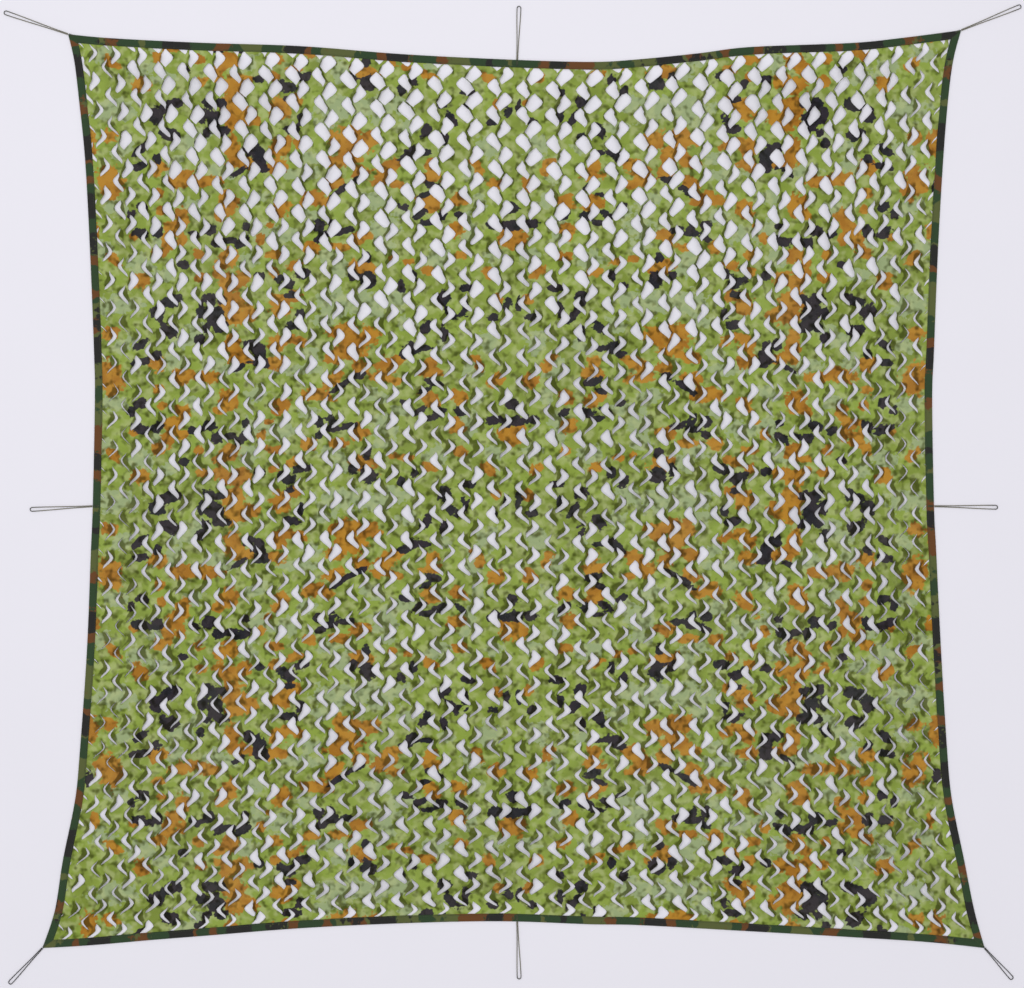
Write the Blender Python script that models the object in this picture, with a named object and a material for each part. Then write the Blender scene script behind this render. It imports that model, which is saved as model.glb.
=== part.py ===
"""Camouflage net, 3 m square, laid out face up with its eight tie loops pulled straight.

Metres, +Z up. The net lies in the XY plane on the surface z = 0, with its upper edge towards +Y.
The netting panel is cut all over with hooked slits. Its dozen widest gaps are cut here.
"""

import math

import bpy
from mathutils.geometry import delaunay_2d_cdt

# ---------------------------------------------------------------- driving dimensions
PANEL_THICKNESS = 0.0010
BINDING_WIDTH = 0.025
BINDING_LEAF = 0.0010  # one leaf of the folded tape
FOLD_WALL = 0.0012
CLEARANCE = 0.0003
PANEL_TUCK = 0.004  # the panel's raw edge stops this far inside the fold
PANEL_RING = 0.030  # the panel stays level from its edge to here, clear of the tape
SLOT_HEIGHT = PANEL_THICKNESS + 2 * CLEARANCE
EDGE_HEIGHT = BINDING_LEAF + CLEARANCE  # underside of the panel inside the binding
CORD_DIAMETER = 0.003
EDGE_STATIONS = 14
GRID = 27

# The net's outline, pulled in between its tie points: each edge from its first corner to its last.
TOP_EDGE = [
    (-1.461, 1.492), (-1.323, 1.479), (-1.028, 1.464), (-0.700, 1.453), (-0.372, 1.427), (-0.044, 1.410),
    (0.251, 1.401), (0.415, 1.410), (0.612, 1.430), (0.776, 1.450), (1.104, 1.463), (1.268, 1.479), (1.468, 1.505),
]
RIGHT_EDGE = [
    (1.468, 1.505), (1.442, 1.407), (1.425, 1.276), (1.409, 1.079), (1.392, 0.784), (1.379, 0.456), (1.373, 0.292),
    (1.379, -0.056), (1.386, -0.200), (1.402, -0.528), (1.422, -0.856), (1.438, -1.020), (1.478, -1.217),
    (1.511, -1.381), (1.545, -1.505),
]
BOTTOM_EDGE = [
    (1.545, -1.505), (1.366, -1.486), (1.104, -1.469), (0.776, -1.450), (0.415, -1.430), (0.251, -1.427),
    (-0.044, -1.417), (-0.372, -1.424), (-0.700, -1.440), (-1.028, -1.466), (-1.192, -1.479), (-1.389, -1.496),
    (-1.545, -1.505),
]
LEFT_EDGE = [
    (-1.545, -1.505), (-1.504, -1.381), (-1.478, -1.217), (-1.438, -1.020), (-1.422, -0.856), (-1.399, -0.528),
    (-1.386, -0.200), (-1.380, -0.056), (-1.373, 0.292), (-1.376, 0.456), (-1.389, 0.784), (-1.405, 1.079),
    (-1.425, 1.276), (-1.441, 1.407), (-1.461, 1.492),
]

# The slits stand in columns, hooks facing left and right by turns.
COLUMNS = 32
ROWS = 33
# A wide gap, in column and row pitches from the tip of its hook.
GAP_OUTLINE = [
    (0.30, 0.30), (0.12, 0.13), (0.03, 0.03), (0.04, -0.05), (0.22, -0.22), (0.48, -0.40), (0.42, -0.16), (0.35, 0.04),
]
# The widest gaps, by column, row from the bottom, and the way that the hook points: -1 left, 1 right.
WIDEST_GAPS = [
    (9, 29, -1), (10, 26, 1), (11, 28, -1), (11, 24, -1), (12, 30, 1), (13, 26, -1),
    (14, 29, 1), (15, 24, 1), (18, 28, -1), (20, 30, -1), (22, 27, 1), (23, 29, -1),
]

# Each tie: its point on the outline, its direction in degrees, how far it reaches, and half its width at the bight.
TIES = {
    "tie_top_left": ((-1.461, 1.492), 161.0, 0.223, 0.0078),
    "tie_top": ((0.012, 1.408), 88.0, 0.177, 0.0078),
    "tie_top_right": ((1.468, 1.505), 22.0, 0.213, 0.0078),
    "tie_right": ((1.379, -0.056), -1.0, 0.210, 0.0078),
    "tie_bottom_right": ((1.545, -1.505), -48.0, 0.138, 0.0078),
    "tie_bottom": ((0.012, -1.418), -88.0, 0.190, 0.0078),
    "tie_bottom_left": ((-1.545, -1.505), 227.0, 0.161, 0.0078),
    "tie_left": ((-1.380, -0.056), 183.0, 0.207, 0.0078),
}
SIDE_STEPS = 18  # spans along each strand
BIGHT_STEPS = 4  # spans round each half of the bight
STRAND_GAP = 0.0017  # half the distance between the strands where they leave the net
OPENING_POWER = 1.15  # above 1, the strands stay together a little longer before they part

COLOURS = {
    "net_panel": ((0.26, 0.37, 0.07), 0.75),
    "binding": ((0.03, 0.07, 0.03), 0.7),
    "tie_dark": ((0.05, 0.05, 0.04), 0.6),
    "tie_light": ((0.42, 0.41, 0.37), 0.6),
}


# ---------------------------------------------------------------- curves
def catmull(points, steps):
    """A smooth curve through the points, with this many steps to each span."""
    ends = [points[0], *points, points[-1]]
    curve = []
    for a, b, c, d in zip(ends, ends[1:], ends[2:], ends[3:]):
        for step in range(steps):
            t = step / steps
            curve.append(tuple(
                0.5 * (2 * q + (r - p) * t + (2 * p - 5 * q + 4 * r - s) * t**2 + (3 * q - p - 3 * r + s) * t**3)
                for p, q, r, s in zip(a, b, c, d)
            ))
    return curve + [tuple(points[-1])]


def along(curve, share):
    """The point at this share of the curve's length."""
    lengths = [math.dist(a, b) for a, b in zip(curve, curve[1:])]
    left = share * sum(lengths)
    for a, b, length in zip(curve, curve[1:], lengths):
        if left <= length:
            return tuple(p + (q - p) * left / length for p, q in zip(a, b))
        left -= length
    return curve[-1]


SMOOTH = [catmull(edge, 6) for edge in (TOP_EDGE, RIGHT_EDGE, BOTTOM_EDGE, LEFT_EDGE)]


def outline_stations():
    """The outline clockwise from the upper left corner, the same number of stations to each edge."""
    return [along(edge, i / EDGE_STATIONS) for edge in SMOOTH for i in range(EDGE_STATIONS)]


def mitres(outline):
    """At each station, the step that moves both its sides inwards by one unit."""
    steps = []
    for i, point in enumerate(outline):
        before, after = outline[i - 1], outline[(i + 1) % len(outline)]
        normals = []
        for a, b in ((before, point), (point, after)):
            length = math.dist(a, b)
            normals.append(((b[1] - a[1]) / length, (a[0] - b[0]) / length))
        (ax, ay), (bx, by) = normals
        share = 1 + ax * bx + ay * by
        steps.append(((ax + bx) / share, (ay + by) / share))
    return steps


OUTLINE = outline_stations()
MITRES = mitres(OUTLINE)


def inset(distance):
    return [(x + mx * distance, y + my * distance) for (x, y), (mx, my) in zip(OUTLINE, MITRES)]


# ---------------------------------------------------------------- the net's own coordinates
def net_point(u, v):
    """u runs across from the left edge, v runs up from the bottom edge, both 0 to 1."""
    top, right, bottom, left = SMOOTH
    t, b = along(top, u), along(bottom, 1 - u)
    lf, rt = along(left, v), along(right, 1 - v)
    corners = (BOTTOM_EDGE[-1], BOTTOM_EDGE[0], TOP_EDGE[0], TOP_EDGE[-1])
    weights = ((1 - u) * (1 - v), u * (1 - v), (1 - u) * v, u * v)
    return tuple(
        (1 - v) * b[i] + v * t[i] + (1 - u) * lf[i] + u * rt[i] - sum(w * c[i] for w, c in zip(weights, corners))
        for i in (0, 1)
    )


def lattice_point(column, row):
    """A place in the slit pattern, whose columns stand closer at the sides and rows closer at the bottom."""
    u, v = column / COLUMNS, row / ROWS
    u += 0.09 / (2 * math.pi) * math.sin(2 * math.pi * (u - 0.5))
    v += 0.04 * v * (v - 1)
    return net_point(u, v)


def gap_loop(column, row, points_to):
    """A gap's outline, anticlockwise."""
    middle = row + (0.5 if points_to > 0 else 0.0)
    loop = [lattice_point(column - points_to * (0.03 + across), middle + up) for across, up in GAP_OUTLINE]
    return loop if points_to < 0 else loop[::-1]


# ---------------------------------------------------------------- the panel
def swell(x, y):
    """How far the slack cloth lifts off the surface: low swells, and folds drawn in from the tie points."""
    lift = 0.0050 * math.sin(3.3 * x + 0.9 * y + 0.6) * math.sin(2.7 * y - 0.8 * x + 1.1)
    for (tx, ty), degrees, _, _ in TIES.values():
        angle = math.radians(degrees + 180)
        inward = (x - tx) * math.cos(angle) + (y - ty) * math.sin(angle)
        aside = abs((y - ty) * math.cos(angle) - (x - tx) * math.sin(angle))
        if 0 < inward < 0.9 and aside < 0.16:
            lift += 0.0055 * math.sin(math.pi * inward / 0.9) * math.cos(math.pi * aside / 0.32) ** 2
    return max(0.0, lift - 0.0012)


def distance_inside(x, y):
    """How far the point is from the net's outline."""
    nearest = 1e9
    for (ax, ay), (bx, by) in zip(OUTLINE, OUTLINE[1:] + OUTLINE[:1]):
        dx, dy = bx - ax, by - ay
        t = max(0.0, min(1.0, ((x - ax) * dx + (y - ay) * dy) / (dx * dx + dy * dy)))
        nearest = min(nearest, math.hypot(x - ax - t * dx, y - ay - t * dy))
    return nearest


def underside(x, y):
    """Height of the panel's underside: level inside the binding, then down onto the surface or up a swell."""
    depth = distance_inside(x, y)
    if depth <= PANEL_RING + 0.001:
        return EDGE_HEIGHT
    share = min(1.0, (depth - PANEL_RING) / 0.10)
    share = share * share * (3 - 2 * share)
    return EDGE_HEIGHT * (1 - share) + swell(x, y) * share


def inside(x, y, loop):
    """Whether the point lies within the loop."""
    found = False
    for (ax, ay), (bx, by) in zip(loop, loop[1:] + loop[:1]):
        if (ay > y) != (by > y) and x < ax + (y - ay) * (bx - ax) / (by - ay):
            found = not found
    return found


def panel_plan():
    """The panel seen from above: points and triangles, open at the cut gaps."""
    edge, ring = inset(PANEL_TUCK), inset(PANEL_RING)
    holes = [gap_loop(*gap) for gap in WIDEST_GAPS]
    points, edges = [], []
    for loop in (edge, ring, *holes):
        first = len(points)
        points += loop
        edges += [(first + i, first + (i + 1) % len(loop)) for i in range(len(loop))]
    fixed = list(points)
    for i in range(1, GRID):
        for j in range(1, GRID):
            x, y = net_point((i + 0.5 * (j % 2)) / (GRID + 0.5), j / GRID)
            if distance_inside(x, y) > PANEL_RING + 0.035 and all(math.dist((x, y), p) > 0.035 for p in fixed):
                if not any(inside(x, y, hole) for hole in holes):
                    points.append((x, y))
    flat, _, faces, *_ = delaunay_2d_cdt(points, edges, [], 0, 1e-7)
    kept = []
    for face in faces:
        x, y = (sum(flat[i][axis] for i in face) / 3 for axis in (0, 1))
        if inside(x, y, edge) and not any(inside(x, y, hole) for hole in holes):
            kept.append(tuple(face))
    return [tuple(p) for p in flat], kept


def build_panel():
    """The plan lifted to its height and thickened downwards to its underside."""
    plan, faces = panel_plan()
    used = sorted({i for face in faces for i in face})
    number = {old: new for new, old in enumerate(used)}
    low = [(plan[i][0], plan[i][1], underside(*plan[i])) for i in used]
    high = [(x, y, z + PANEL_THICKNESS) for x, y, z in low]
    count = len(used)
    top = [tuple(number[i] + count for i in face) for face in faces]
    bottom = [tuple(number[i] for i in reversed(face)) for face in faces]
    sides = {(a, b) for face in bottom for a, b in zip(face, face[1:] + face[:1])}
    walls = [(b, a, a + count, b + count) for a, b in sides if (b, a) not in sides]
    return solid("net_panel", low + high, top + bottom + walls, "net_panel")


# ---------------------------------------------------------------- the binding
def build_binding(name, first):
    """Tape folded over one edge of the panel: an open channel swept between two mitred corners."""
    height = 2 * BINDING_LEAF + SLOT_HEIGHT
    round_off = 0.0006
    channel = [
        (BINDING_WIDTH, 0), (round_off, 0), (0, round_off), (0, height - round_off), (round_off, height),
        (BINDING_WIDTH, height), (BINDING_WIDTH, height - BINDING_LEAF), (FOLD_WALL, height - BINDING_LEAF),
        (FOLD_WALL, BINDING_LEAF), (BINDING_WIDTH, BINDING_LEAF),
    ]
    stations = [(first + i) % len(OUTLINE) for i in range(EDGE_STATIONS + 1)]
    points = []
    for place, station in enumerate(stations):
        x, y = OUTLINE[station]
        mx, my = MITRES[station]
        # A mitred end stops a little short, so that two bindings don't touch.
        back = {0: stations[1], EDGE_STATIONS: stations[-2]}.get(place)
        if back is not None:
            to = OUTLINE[back]
            share = 0.75 * CLEARANCE / math.dist((x, y), to)
            x, y = x + (to[0] - x) * share, y + (to[1] - y) * share
        points += [(x + mx * depth, y + my * depth, z) for depth, z in channel]
    n = len(channel)
    faces = []
    for i in range(EDGE_STATIONS):
        for k in range(n):
            a, b = i * n + k, i * n + (k + 1) % n
            faces.append((a, b, b + n, a + n))
    faces += [tuple(reversed(range(n))), tuple(range(EDGE_STATIONS * n, (EDGE_STATIONS + 1) * n))]
    return solid(name, points, faces, "binding")


# ---------------------------------------------------------------- the ties
def clear_start(place, degrees):
    """How far out from its point a tie can start with both strands clear of the binding."""
    angle = math.radians(degrees)
    reach_aside = STRAND_GAP + CORD_DIAMETER / 2
    out = -0.003
    while out < 0.01:
        corners = [
            (
                place[0] + out * math.cos(angle) - aside * math.sin(angle),
                place[1] + out * math.sin(angle) + aside * math.cos(angle),
            )
            for aside in (-reach_aside, 0, reach_aside)
        ]
        if all(not inside(x, y, OUTLINE) and distance_inside(x, y) >= CLEARANCE for x, y in corners):
            return out
        out += 0.0001
    return out


def tie_route(place, degrees, reach, half_width):
    """Out along one side of the loop, round the half circle at its end and back along the other side."""
    start = clear_start(place, degrees)
    turn = half_width - CORD_DIAMETER / 2
    middle = reach - half_width
    side = []
    for i in range(SIDE_STEPS):
        share = i / SIDE_STEPS
        eased = share**OPENING_POWER
        opened = eased * eased * (3 - 2 * eased)
        side.append((start + (middle - start) * share, STRAND_GAP + (turn - STRAND_GAP) * opened))
    round_end = []
    for i in range(BIGHT_STEPS):
        angle = math.pi / 2 * i / BIGHT_STEPS
        round_end.append((middle + turn * math.sin(angle), turn * math.cos(angle)))
    half = side + round_end
    local = half + [(middle + turn, 0.0)] + [(out, -aside) for out, aside in reversed(half)]
    angle = math.radians(degrees)
    return [
        (
            place[0] + out * math.cos(angle) - aside * math.sin(angle),
            place[1] + out * math.sin(angle) + aside * math.cos(angle),
            EDGE_HEIGHT + PANEL_THICKNESS / 2 - 0.0003 * min(1.0, out / 0.05),
        )
        for out, aside in local
    ]


def build_tie(name):
    """A round cord along its route."""
    points = tie_route(*TIES[name])
    curve = bpy.data.curves.new(name, "CURVE")
    curve.dimensions = "3D"
    curve.bevel_depth = CORD_DIAMETER / 2
    curve.bevel_resolution = 2
    curve.use_fill_caps = True
    spline = curve.splines.new("POLY")
    spline.points.add(len(points) - 1)
    for place, point in zip(points, spline.points):
        point.co = (*place, 1)
    spline.use_smooth = True
    return added(name, curve, "tie_dark" if "bottom" in name and name != "tie_bottom" else "tie_light")


# ---------------------------------------------------------------- objects
def material(name):
    found = bpy.data.materials.get(name)
    if found is None:
        colour, roughness = COLOURS[name]
        found = bpy.data.materials.new(name)
        found.use_nodes = True
        shader = found.node_tree.nodes["Principled BSDF"]
        shader.inputs["Base Color"].default_value = (*colour, 1)
        shader.inputs["Roughness"].default_value = roughness
        shader.inputs["Metallic"].default_value = 0
    return found


def added(name, data, material_name):
    piece = bpy.data.objects.new(name, data)
    bpy.context.scene.collection.objects.link(piece)
    data.materials.append(material(material_name))
    return piece


def solid(name, points, faces, material_name):
    mesh = bpy.data.meshes.new(name)
    mesh.from_pydata(points, [], faces)
    mesh.validate()
    return added(name, mesh, material_name)


def main():
    for old in list(bpy.data.objects):
        bpy.data.objects.remove(old, do_unlink=True)
    build_panel()
    for i, side in enumerate(("top", "right", "bottom", "left")):
        build_binding(f"binding_{side}", i * EDGE_STATIONS)
    for name in TIES:
        build_tie(name)


main()
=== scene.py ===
"""Camouflage net, 3 m square, laid out face up on a pale floor with its eight tie loops pulled straight.

Metres, +Z up, upper edge of the net towards +Y. The netting is one sheet of printed oxford cloth
with hooked slits all over. Dark printed tape is sewn round its raw edge, and doubled cords tie it down.
"""

import bisect
import math
import random

import bpy
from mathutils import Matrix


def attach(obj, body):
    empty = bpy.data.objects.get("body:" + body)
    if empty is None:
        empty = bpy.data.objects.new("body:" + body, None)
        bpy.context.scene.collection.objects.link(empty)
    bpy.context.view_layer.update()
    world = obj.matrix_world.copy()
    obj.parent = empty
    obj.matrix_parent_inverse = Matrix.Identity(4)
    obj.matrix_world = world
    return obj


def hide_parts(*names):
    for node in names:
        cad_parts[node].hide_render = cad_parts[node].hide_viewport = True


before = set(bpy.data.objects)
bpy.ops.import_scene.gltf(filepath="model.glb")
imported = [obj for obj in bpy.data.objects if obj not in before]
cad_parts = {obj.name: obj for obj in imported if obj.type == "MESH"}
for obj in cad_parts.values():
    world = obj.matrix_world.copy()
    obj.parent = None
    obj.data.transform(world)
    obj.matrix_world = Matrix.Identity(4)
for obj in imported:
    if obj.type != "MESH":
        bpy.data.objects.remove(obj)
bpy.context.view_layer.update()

# ---------------------------------------------------------------- the net's measures, as in the CAD part
BINDING_WIDTH = 0.025
BINDING_LEAF = 0.0010
CLEARANCE = 0.0003
PANEL_THICKNESS = 0.0010
EDGE_HEIGHT = BINDING_LEAF + CLEARANCE
TAPE_HEIGHT = 2 * BINDING_LEAF + PANEL_THICKNESS + 2 * CLEARANCE
PANEL_TUCK = 0.004
PANEL_RING = 0.030
CORD_DIAMETER = 0.003
EDGE_STATIONS = 14

TOP_EDGE = [
    (-1.461, 1.492), (-1.323, 1.479), (-1.028, 1.464), (-0.700, 1.453), (-0.372, 1.427),
    (-0.044, 1.410), (0.251, 1.401), (0.415, 1.410), (0.612, 1.430), (0.776, 1.450), (1.104, 1.463),
    (1.268, 1.479), (1.468, 1.505),
]
RIGHT_EDGE = [
    (1.468, 1.505), (1.442, 1.407), (1.425, 1.276), (1.409, 1.079), (1.392, 0.784), (1.379, 0.456),
    (1.373, 0.292), (1.379, -0.056), (1.386, -0.200), (1.402, -0.528), (1.422, -0.856), (1.438, -1.020),
    (1.478, -1.217), (1.511, -1.381), (1.545, -1.505),
]
BOTTOM_EDGE = [
    (1.545, -1.505), (1.366, -1.486), (1.104, -1.469), (0.776, -1.450), (0.415, -1.430),
    (0.251, -1.427), (-0.044, -1.417), (-0.372, -1.424), (-0.700, -1.440), (-1.028, -1.466),
    (-1.192, -1.479), (-1.389, -1.496), (-1.545, -1.505),
]
LEFT_EDGE = [
    (-1.545, -1.505), (-1.504, -1.381), (-1.478, -1.217), (-1.438, -1.020), (-1.422, -0.856),
    (-1.399, -0.528), (-1.386, -0.200), (-1.380, -0.056), (-1.373, 0.292), (-1.376, 0.456),
    (-1.389, 0.784), (-1.405, 1.079), (-1.425, 1.276), (-1.441, 1.407), (-1.461, 1.492),
]
COLUMNS = 32
ROWS = 33
WIDEST_GAPS = {
    (9, 29, -1), (10, 26, 1), (11, 28, -1), (11, 24, -1), (12, 30, 1), (13, 26, -1),
    (14, 29, 1), (15, 24, 1), (18, 28, -1), (20, 30, -1), (22, 27, 1), (23, 29, -1),
}
LOOP_HALF_WIDTH = 0.0078  # the cord then turns round the bight at 2.1 times its diameter
# Each tie: its point on the outline, its direction in degrees, how far it reaches, half its width.
TIES = {
    "tie_top_left": ((-1.461, 1.492), 161.0, 0.223, LOOP_HALF_WIDTH),
    "tie_top": ((0.012, 1.408), 88.0, 0.177, LOOP_HALF_WIDTH),
    "tie_top_right": ((1.468, 1.505), 22.0, 0.213, LOOP_HALF_WIDTH),
    "tie_right": ((1.379, -0.056), -1.0, 0.210, LOOP_HALF_WIDTH),
    "tie_bottom_right": ((1.545, -1.505), -48.0, 0.138, LOOP_HALF_WIDTH),
    "tie_bottom": ((0.012, -1.418), -88.0, 0.190, LOOP_HALF_WIDTH),
    "tie_bottom_left": ((-1.545, -1.505), 227.0, 0.161, LOOP_HALF_WIDTH),
    "tie_left": ((-1.380, -0.056), 183.0, 0.207, LOOP_HALF_WIDTH),
}
SIDE_STEPS = 36  # spans along each strand
BIGHT_STEPS = 12  # spans round each half of the bight
STRAND_GAP = 0.0017  # half the distance between the strands where they leave the net
OPENING_POWER = 1.15  # above 1, the strands stay together a little longer before they part


# ---------------------------------------------------------------- small tools
def clamp(value, low=0.0, high=1.0):
    return max(low, min(high, value))


def smooth_step(value):
    value = clamp(value)
    return value * value * (3 - 2 * value)


def between(table, value):
    """The value read off a table of (place, value) pairs, straight between them."""
    places = [place for place, _ in table]
    i = clamp(bisect.bisect_right(places, value) - 1, 0, len(table) - 2)
    (a, low), (b, high) = table[i], table[i + 1]
    return low + (high - low) * clamp((value - a) / (b - a))


def catmull(points, steps):
    """A smooth curve through the points, with this many steps to each span."""
    ends = [points[0], *points, points[-1]]
    curve = []
    for a, b, c, d in zip(ends, ends[1:], ends[2:], ends[3:]):
        for step in range(steps):
            t = step / steps
            curve.append(tuple(
                0.5 * (2 * q + (r - p) * t
                       + (2 * p - 5 * q + 4 * r - s) * t**2 + (3 * q - p - 3 * r + s) * t**3)
                for p, q, r, s in zip(a, b, c, d)
            ))
    return curve + [tuple(points[-1])]


class Line:
    """A line through points, read off by the share of its length."""

    def __init__(self, points):
        self.points = points
        self.reached = [0.0]
        for a, b in zip(points, points[1:]):
            self.reached.append(self.reached[-1] + math.dist(a, b))
        self.length = self.reached[-1]

    def at(self, share):
        want = clamp(share) * self.length
        i = min(max(bisect.bisect_left(self.reached, want) - 1, 0), len(self.points) - 2)
        a, b = self.points[i], self.points[i + 1]
        step = self.reached[i + 1] - self.reached[i]
        t = (want - self.reached[i]) / step if step else 0.0
        return tuple(p + (q - p) * t for p, q in zip(a, b))


TOP, RIGHT, BOTTOM, LEFT = (Line(catmull(edge, 6)) for edge in (TOP_EDGE, RIGHT_EDGE, BOTTOM_EDGE, LEFT_EDGE))
OUTLINE = [edge.at(i / EDGE_STATIONS) for edge in (TOP, RIGHT, BOTTOM, LEFT) for i in range(EDGE_STATIONS)]


def net_point(u, v):
    """A place on the net: u runs across from the left edge, v up from the bottom edge, both 0 to 1."""
    t, b, lf, rt = TOP.at(u), BOTTOM.at(1 - u), LEFT.at(v), RIGHT.at(1 - v)
    corners = (BOTTOM_EDGE[-1], BOTTOM_EDGE[0], TOP_EDGE[0], TOP_EDGE[-1])
    weights = ((1 - u) * (1 - v), u * (1 - v), (1 - u) * v, u * v)
    return tuple(
        (1 - v) * b[i] + v * t[i] + (1 - u) * lf[i] + u * rt[i]
        - sum(w * c[i] for w, c in zip(weights, corners))
        for i in (0, 1)
    )


def lattice_point(column, row):
    """A place in the slit pattern, whose raw edge is tucked into the tape."""
    u, v = column / COLUMNS, row / ROWS
    u += 0.09 / (2 * math.pi) * math.sin(2 * math.pi * (u - 0.5))
    v += 0.04 * v * (v - 1)
    tuck = PANEL_TUCK / 3
    return net_point(tuck + (1 - 2 * tuck) * u, tuck + (1 - 2 * tuck) * v)


def swell(x, y):
    """How far the slack cloth lifts off the surface: low swells, and folds drawn in from the tie points."""
    lift = 0.0050 * math.sin(3.3 * x + 0.9 * y + 0.6) * math.sin(2.7 * y - 0.8 * x + 1.1)
    for (tx, ty), degrees, _, _ in TIES.values():
        angle = math.radians(degrees + 180)
        inward = (x - tx) * math.cos(angle) + (y - ty) * math.sin(angle)
        aside = abs((y - ty) * math.cos(angle) - (x - tx) * math.sin(angle))
        if 0 < inward < 0.9 and aside < 0.16:
            lift += 0.0055 * math.sin(math.pi * inward / 0.9) * math.cos(math.pi * aside / 0.32) ** 2
    return max(0.0, lift - 0.0012)


def distance_inside(x, y):
    """How far the point is from the net's outline."""
    nearest = 1e9
    for (ax, ay), (bx, by) in zip(OUTLINE, OUTLINE[1:] + OUTLINE[:1]):
        dx, dy = bx - ax, by - ay
        t = clamp(((x - ax) * dx + (y - ay) * dy) / (dx * dx + dy * dy))
        nearest = min(nearest, math.hypot(x - ax - t * dx, y - ay - t * dy))
    return nearest


# ---------------------------------------------------------------- camera
LENS = 96.46
CAMERA_PLACE = (-0.005, -0.016, 9.0)


def make_camera():
    """Straight above the net, looking down."""
    data = bpy.data.cameras.new("camera")
    data.sensor_width = 36.0
    data.lens = LENS
    camera = bpy.data.objects.new("camera", data)
    bpy.context.scene.collection.objects.link(camera)
    camera.location = CAMERA_PLACE
    camera.rotation_euler = (0.0, 0.0, 0.0)
    bpy.context.scene.camera = camera


make_camera()


# ---------------------------------------------------------------- mesh helpers
def new_piece(name, points, faces, material):
    mesh = bpy.data.meshes.new(name)
    mesh.from_pydata(points, [], faces)
    mesh.update()
    mesh.shade_smooth()
    piece = bpy.data.objects.new(name, mesh)
    bpy.context.scene.collection.objects.link(piece)
    mesh.materials.append(material)
    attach(piece, "root")
    return piece


def give_values(piece, name, values):
    """One number to each point of the mesh, for the materials to read."""
    layer = piece.data.attributes.new(name, "FLOAT", "POINT")
    layer.data.foreach_set("value", values)


# ---------------------------------------------------------------- node helpers
class Nodes:
    """A short way to add nodes to a material or a group and wire them up."""

    def __init__(self, tree):
        self.tree = tree

    def add(self, kind, inputs=(), **settings):
        node = self.tree.nodes.new(kind)
        for name, value in settings.items():
            setattr(node, name, value)
        for name, value in dict(inputs).items():
            self.set(node, name, value)
        return node

    def set(self, node, name, value):
        socket = node.inputs[name]
        if isinstance(value, bpy.types.NodeSocket):
            self.tree.links.new(value, socket)
        else:
            socket.default_value = value

    def math(self, operation, a, b=0.5):
        node = self.add("ShaderNodeMath", operation=operation)
        self.set(node, 0, a)
        self.set(node, 1, b)
        return node.outputs[0]

    def attribute(self, name):
        return self.add("ShaderNodeAttribute", attribute_name=name).outputs["Fac"]

    def noise(self, vector, scale, detail=2.0, roughness=0.5):
        node = self.add("ShaderNodeTexNoise", {"Vector": vector, "Scale": scale, "Detail": detail,
                                               "Roughness": roughness})
        return node.outputs["Fac"]

    def stretch(self, value, low, high, to_low=0.0, to_high=1.0):
        node = self.add("ShaderNodeMapRange", {"Value": value, "From Min": low, "From Max": high,
                                               "To Min": to_low, "To Max": to_high})
        return node.outputs["Result"]

    def mix(self, share, a, b, blend="MIX"):
        node = self.add("ShaderNodeMix", data_type="RGBA", blend_type=blend)
        for socket, value in ((node.inputs[0], share), (node.inputs[6], a), (node.inputs[7], b)):
            if isinstance(value, bpy.types.NodeSocket):
                self.tree.links.new(value, socket)
            else:
                socket.default_value = value
        return node.outputs[2]

    def group(self, tree, **inputs):
        node = self.tree.nodes.new("ShaderNodeGroup")
        node.node_tree = tree
        for name, value in inputs.items():
            self.set(node, name.replace("_", " "), value)
        return node


def new_group(name, inputs, outputs):
    """An empty node group with named number, colour or vector sockets, and its inner ends."""
    kinds = {"number": "NodeSocketFloat", "colour": "NodeSocketColor", "vector": "NodeSocketVector"}
    tree = bpy.data.node_groups.new(name, "ShaderNodeTree")
    for socket, kind in inputs.items():
        tree.interface.new_socket(socket, in_out="INPUT", socket_type=kinds[kind])
    for socket, kind in outputs.items():
        tree.interface.new_socket(socket, in_out="OUTPUT", socket_type=kinds[kind])
    nodes = Nodes(tree)
    return tree, nodes, nodes.add("NodeGroupInput").outputs, nodes.add("NodeGroupOutput")


def new_material(name):
    material = bpy.data.materials.new(name)
    material.use_nodes = True
    nodes = Nodes(material.node_tree)
    return material, nodes, material.node_tree.nodes["Principled BSDF"]


def srgb(red, green, blue):
    """A colour as a painter names it, 0 to 255, turned into the light that it gives back."""
    def linear(value):
        value /= 255
        return value / 12.92 if value <= 0.04045 else ((value + 0.055) / 1.055) ** 2.4
    return (linear(red), linear(green), linear(blue), 1.0)


# ---------------------------------------------------------------- shared effects
def weave_group():
    """Plain weave: warp and weft threads that pass over and under each other."""
    tree, n, given, out = new_group(
        "plain_weave", {"Place": "vector", "Threads per Metre": "number"},
        {"Height": "number", "Painted Weave Shading": "number"},
    )
    parts = n.add("ShaderNodeSeparateXYZ", {"Vector": given["Place"]}).outputs
    turns = n.math("MULTIPLY", given["Threads per Metre"], math.pi)
    across = n.math("SINE", n.math("MULTIPLY", parts["X"], turns))
    along = n.math("SINE", n.math("MULTIPLY", parts["Y"], turns))
    crossing = n.math("MULTIPLY", across, along)
    warp = n.math("MULTIPLY", n.math("ABSOLUTE", across), n.math("MAXIMUM", crossing, 0.0))
    other_crossing = n.math("MAXIMUM", n.math("MULTIPLY", crossing, -1.0), 0.0)
    weft = n.math("MULTIPLY", n.math("ABSOLUTE", along), other_crossing)
    height = n.math("MAXIMUM", warp, weft)
    n.set(out, "Height", height)
    # Painted shade and highlight: the colour darkens where the threads dip between crossings and lightens a
    # little on their tops.
    n.set(out, "Painted Weave Shading", n.stretch(height, 0.0, 0.7, 0.86, 1.04))
    return tree


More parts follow.
